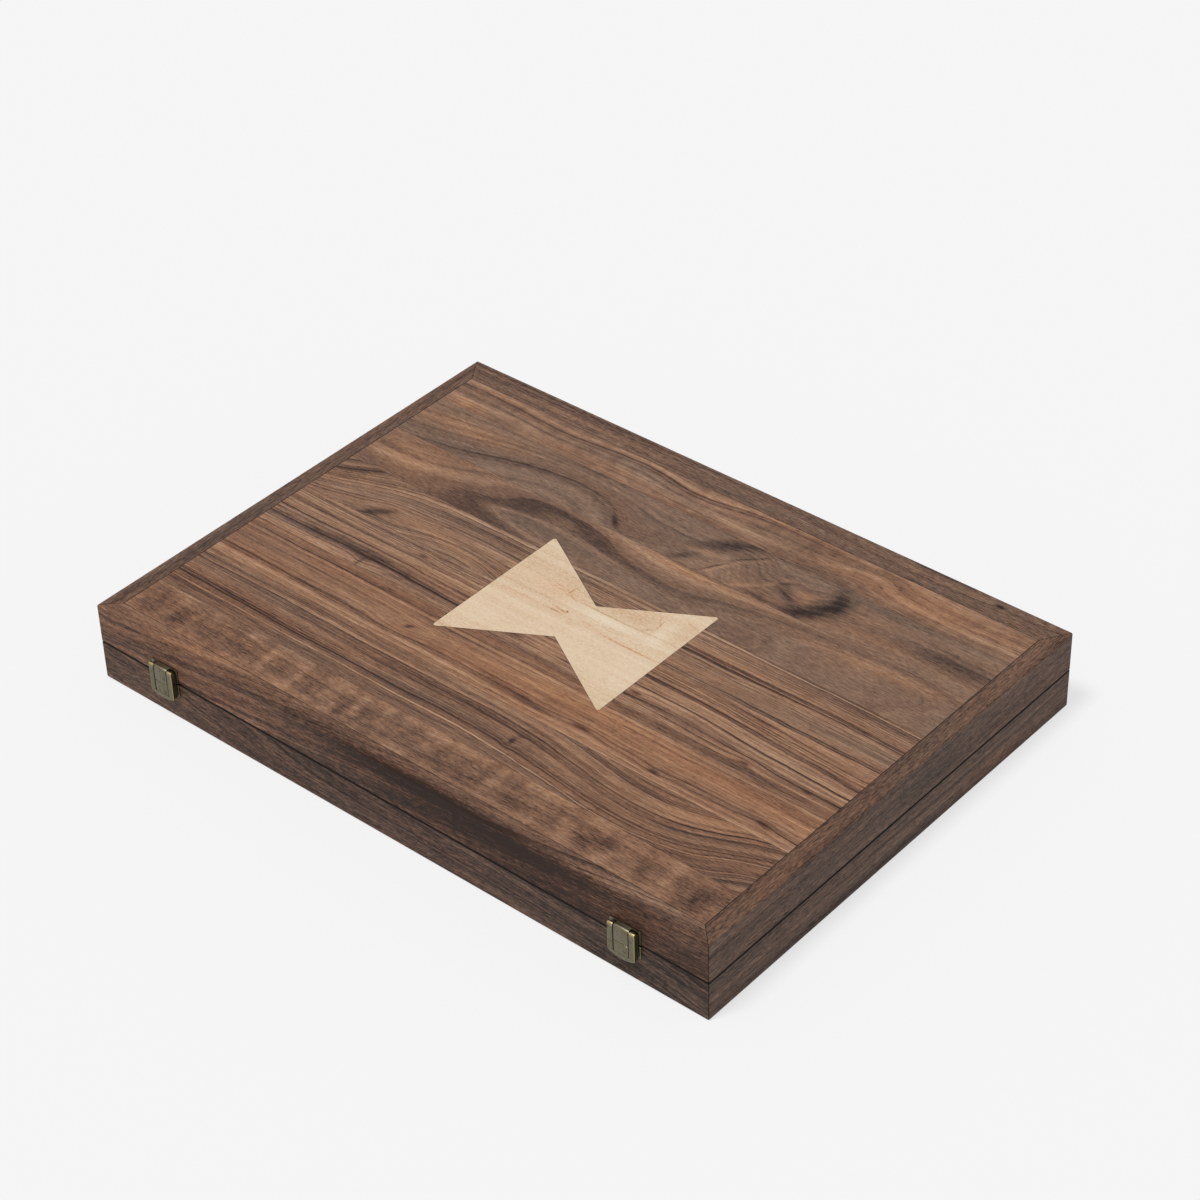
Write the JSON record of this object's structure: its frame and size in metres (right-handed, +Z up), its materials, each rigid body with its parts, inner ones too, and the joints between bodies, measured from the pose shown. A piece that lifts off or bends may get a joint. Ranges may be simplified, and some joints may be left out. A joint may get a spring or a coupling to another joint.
{
  "type": "folding game case",
  "caption": "Folding walnut game case with a pale butterfly key inlaid in its lid, hinged along the back and closed at the front by brass spring latches.",
  "frame": {"origin": "middle of the closed case's underside", "axes": "+X along the hinged back, +Y from the latched front to the hinged back, +Z up out of the lid"},
  "size_m": [0.48, 0.3559, 0.056],
  "materials": {
    "rail_walnut": "satin oil",
    "panel_walnut": "satin oil",
    "field_walnut": "satin oil",
    "maple": "satin oil",
    "ebonised_wood": "satin oil",
    "aged_brass": "aged, brushed"
  },
  "bodies": {
    "base": {"base_back_rail": "rail_walnut", "base_dark_points": "ebonised_wood", "base_field_board": "field_walnut", "base_front_rail": "rail_walnut", "base_left_rail": "rail_walnut", "base_light_points": "maple", "base_right_rail": "rail_walnut", "base_stave_1": "panel_walnut", "base_stave_2": "panel_walnut", "base_stave_3": "panel_walnut", "base_stave_4": "panel_walnut", "base_stave_5": "panel_walnut", "base_stave_6": "panel_walnut", "base_stave_7": "panel_walnut", "base_stave_8": "panel_walnut", "hinge_base_screws": "aged_brass", "latch_base_screws": "aged_brass", "left_hinge_base_leaf": "aged_brass", "left_hinge_pin": "aged_brass", "left_latch_catch": "aged_brass", "right_hinge_base_leaf": "aged_brass", "right_hinge_pin": "aged_brass", "right_latch_catch": "aged_brass"},
    "lid": {"butterfly_key": "maple", "hinge_lid_screws": "aged_brass", "latch_lid_screws": "aged_brass", "left_hinge_lid_leaf": "aged_brass", "left_latch_bracket": "aged_brass", "left_latch_pin": "aged_brass", "lid_back_rail": "rail_walnut", "lid_dark_points": "ebonised_wood", "lid_field_board": "field_walnut", "lid_front_rail": "rail_walnut", "lid_left_rail": "rail_walnut", "lid_light_points": "maple", "lid_right_rail": "rail_walnut", "lid_stave_1": "panel_walnut", "lid_stave_2": "panel_walnut", "lid_stave_3": "panel_walnut", "lid_stave_4": "panel_walnut", "lid_stave_5": "panel_walnut", "lid_stave_6": "panel_walnut", "lid_stave_7": "panel_walnut", "lid_stave_8": "panel_walnut", "right_hinge_lid_leaf": "aged_brass", "right_latch_bracket": "aged_brass", "right_latch_pin": "aged_brass"},
    "left_latch_lever": {"left_latch_lever": "aged_brass", "left_latch_spring": "aged_brass"},
    "right_latch_lever": {"right_latch_lever": "aged_brass", "right_latch_spring": "aged_brass"}
  },
  "joints": [
    {"name": "lid_hinge", "type": "hinge", "parent": "base", "child": "lid", "pos_m": [0, 0.1743, 0.028], "axis": [-1, 0, 0], "range_deg": [0, 180], "deforming": ["left_latch_spring", "right_latch_spring"]},
    {"name": "left_latch_swing", "type": "hinge", "parent": "lid", "child": "left_latch_lever", "pos_m": [-0.182, -0.1776, 0.037], "axis": [-1, 0, 0], "range_deg": [0, 120]},
    {"name": "right_latch_swing", "type": "hinge", "parent": "lid", "child": "right_latch_lever", "pos_m": [0.182, -0.1776, 0.037], "axis": [-1, 0, 0], "range_deg": [0, 120]}
  ]
}
